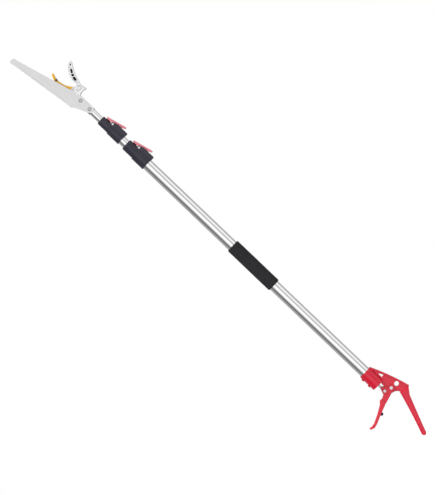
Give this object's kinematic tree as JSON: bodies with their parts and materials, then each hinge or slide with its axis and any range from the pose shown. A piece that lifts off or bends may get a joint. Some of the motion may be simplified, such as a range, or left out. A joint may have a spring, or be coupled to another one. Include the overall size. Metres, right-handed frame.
{
  "type": "telescoping pole saw",
  "caption": "Telescoping pole with a hand lever at its foot that closes a pair of cut and hold jaws at its head, a saw blade bolted beside them, lever locks on the tubes and a foam grip.",
  "frame": {"origin": "middle of the foam grip, on the axis of the pole", "axes": "+Z along the pole to the head, +X to the side of the lock levers, -Y to the side of the saw"},
  "size_m": [0.1549, 0.037, 1.439],
  "materials": {
    "red_paint": "glossy red paint",
    "lever_red": "glossy red plastic",
    "bright_tube": "bright drawn tube",
    "foam": "matte closed-cell foam",
    "black_plastic": "moulded black plastic",
    "rubber": "black rubber",
    "spring_steel": "drawn spring wire",
    "steel": "plated steel",
    "rod_tube": "plain drawn tube",
    "dark_metal": "dark grey coating",
    "polished_casting": "polished casting",
    "yellow_paint": "glossy yellow paint",
    "blade_steel": "ground steel"
  },
  "bodies": {
    "pole_base": {"handle_casting": "red_paint", "trigger_pivot_pin": "steel", "socket_screws": "steel", "base_tube": "bright_tube", "base_tube_plug": "black_plastic", "foam_grip": "foam", "lower_lock_housing": "black_plastic", "lower_lock_pin": "steel", "lower_lock_spring": "spring_steel", "base_tube_bush": "black_plastic", "return_spring": "spring_steel"},
    "trigger": {"trigger_lever": "red_paint", "trigger_bumper": "rubber"},
    "base_rod": {"base_rod": "steel", "base_rod_end": "steel", "rod_pin": "steel", "spring_collar": "steel"},
    "lower_lock": {"lower_lock_lever": "lever_red", "lower_brake_pad": "rubber"},
    "mid_section": {"mid_tube": "bright_tube", "mid_tube_glide": "black_plastic", "mid_tube_bush": "black_plastic", "upper_lock_housing": "black_plastic", "upper_lock_pin": "steel", "upper_lock_spring": "spring_steel"},
    "mid_rod": {"mid_rod": "rod_tube", "mid_rod_collet": "black_plastic"},
    "upper_lock": {"upper_lock_lever": "lever_red", "upper_brake_pad": "rubber"},
    "top_section": {"top_tube": "bright_tube", "top_tube_glide": "black_plastic", "neck_ferrule": "dark_metal", "head_casting": "polished_casting", "fixed_jaw": "yellow_paint", "counter_blade": "blade_steel", "fixed_jaw_screws": "dark_metal", "jaw_pivot_bolt": "steel", "jaw_pivot_nut": "steel", "saw_blade": "blade_steel", "saw_screws": "steel", "saw_washers": "dark_metal"},
    "top_rod": {"top_rod": "rod_tube", "top_rod_collet": "black_plastic", "top_rod_fork": "dark_metal", "fork_pin": "steel"},
    "moving_jaw": {"moving_jaw": "polished_casting", "cutting_blade": "blade_steel", "blade_rivets": "steel"}
  },
  "joints": [
    {"name": "trigger_hinge", "type": "hinge", "parent": "pole_base", "child": "trigger", "pos_m": [0.0175, 0, -0.4745], "axis": [0, -1, 0], "range_deg": [0, 47.05], "deforming": ["return_spring"]},
    {"name": "base_rod_slide", "type": "slide", "parent": "pole_base", "child": "base_rod", "axis": [0, 0, -1], "range_m": [0, 0.0151], "stiffness_N_per_m": 1200, "springref_m": -0.016, "deforming": ["return_spring"]},
    {"name": "lower_lock_hinge", "type": "hinge", "parent": "pole_base", "child": "lower_lock", "pos_m": [0.0166, 0, 0.4225], "axis": [0, 1, 0], "range_deg": [0, 10], "stiffness_Nm_per_rad": 0.04, "springref_deg": -14.32, "deforming": ["lower_lock_spring"]},
    {"name": "mid_slide", "type": "slide", "parent": "pole_base", "child": "mid_section", "axis": [0, 0, 1], "range_m": [0, 0.68]},
    {"name": "mid_rod_slide", "type": "slide", "parent": "mid_section", "child": "mid_rod", "axis": [0, 0, -1], "range_m": [0, 0.0152]},
    {"name": "upper_lock_hinge", "type": "hinge", "parent": "mid_section", "child": "upper_lock", "pos_m": [0.0136, 0, 0.5135], "axis": [0, 1, 0], "range_deg": [0, 10], "stiffness_Nm_per_rad": 0.04, "springref_deg": -14.32, "deforming": ["upper_lock_spring"]},
    {"name": "top_slide", "type": "slide", "parent": "mid_section", "child": "top_section", "axis": [0, 0, 1], "range_m": [0, 0.7]},
    {"name": "top_rod_slide", "type": "slide", "parent": "top_section", "child": "top_rod", "axis": [0, 0, -1], "range_m": [0, 0.0152]},
    {"name": "jaw_hinge", "type": "hinge", "parent": "top_section", "child": "moving_jaw", "pos_m": [0.0205, 0, 0.64], "axis": [0, -1, 0], "range_deg": [0, 40.55]}
  ],
  "couplings": [
    {"joint": "trigger_hinge", "follows": "base_rod_slide", "rad_per_m": 54.325},
    {"joint": "mid_rod_slide", "follows": "base_rod_slide", "ratio": 1},
    {"joint": "top_rod_slide", "follows": "base_rod_slide", "ratio": 1},
    {"joint": "jaw_hinge", "follows": "base_rod_slide", "rad_per_m": 46.812}
  ]
}
